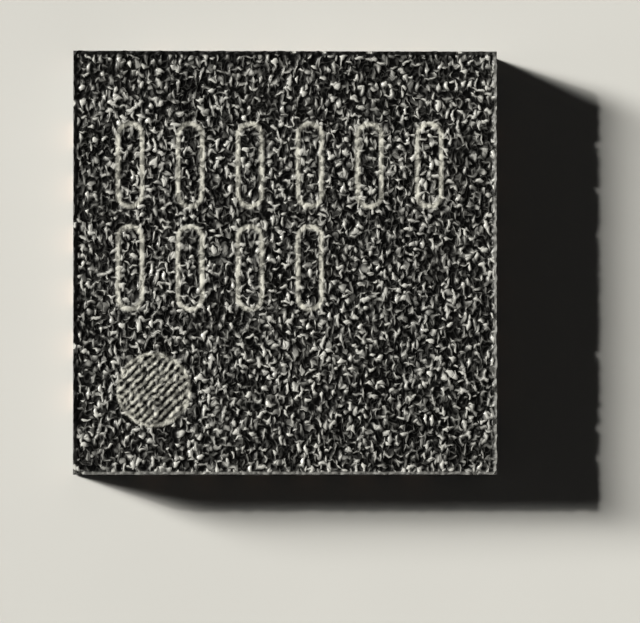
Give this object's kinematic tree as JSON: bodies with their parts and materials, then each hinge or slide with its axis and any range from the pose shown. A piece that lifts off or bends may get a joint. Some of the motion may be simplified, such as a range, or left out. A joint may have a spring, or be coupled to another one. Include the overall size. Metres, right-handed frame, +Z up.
{
  "type": "integrated circuit",
  "caption": "Square flat no-lead chip package, matt black moulding with a hatched index mark, flush terminals along all four sides and an exposed pad beneath.",
  "frame": {"origin": "centre of the seating plane, midway between the four saw-cut sides", "axes": "+Z up out of the marked face; terminal 1 and the index mark are in the -X, -Y corner; terminals run counter-clockwise from there"},
  "size_m": [0.004, 0.004, 0.0009],
  "materials": {
    "mould_compound": "spark-eroded matt",
    "tinned_copper": "matt tin, bare copper at the saw cuts",
    "silicon": "polished",
    "adhesive": "silver filled",
    "gold_wire": "bright"
  },
  "bodies": {
    "root": {"mould_body": "mould_compound", "die_paddle": "tinned_copper", "die_attach": "adhesive", "silicon_die": "silicon", "lead_01": "tinned_copper", "lead_02": "tinned_copper", "lead_03": "tinned_copper", "lead_04": "tinned_copper", "lead_05": "tinned_copper", "lead_06": "tinned_copper", "lead_07": "tinned_copper", "lead_08": "tinned_copper", "lead_09": "tinned_copper", "lead_10": "tinned_copper", "lead_11": "tinned_copper", "lead_12": "tinned_copper", "lead_13": "tinned_copper", "lead_14": "tinned_copper", "lead_15": "tinned_copper", "lead_16": "tinned_copper", "lead_17": "tinned_copper", "lead_18": "tinned_copper", "lead_19": "tinned_copper", "lead_20": "tinned_copper", "lead_21": "tinned_copper", "lead_22": "tinned_copper", "lead_23": "tinned_copper", "lead_24": "tinned_copper", "bond_wire_01": "gold_wire", "bond_wire_02": "gold_wire", "bond_wire_03": "gold_wire", "bond_wire_04": "gold_wire", "bond_wire_05": "gold_wire", "bond_wire_06": "gold_wire", "bond_wire_07": "gold_wire", "bond_wire_08": "gold_wire", "bond_wire_09": "gold_wire", "bond_wire_10": "gold_wire", "bond_wire_11": "gold_wire", "bond_wire_12": "gold_wire", "bond_wire_13": "gold_wire", "bond_wire_14": "gold_wire", "bond_wire_15": "gold_wire", "bond_wire_16": "gold_wire", "bond_wire_17": "gold_wire", "bond_wire_18": "gold_wire", "bond_wire_19": "gold_wire", "bond_wire_20": "gold_wire", "bond_wire_21": "gold_wire", "bond_wire_22": "gold_wire", "bond_wire_23": "gold_wire", "bond_wire_24": "gold_wire"}
  },
  "joints": []
}
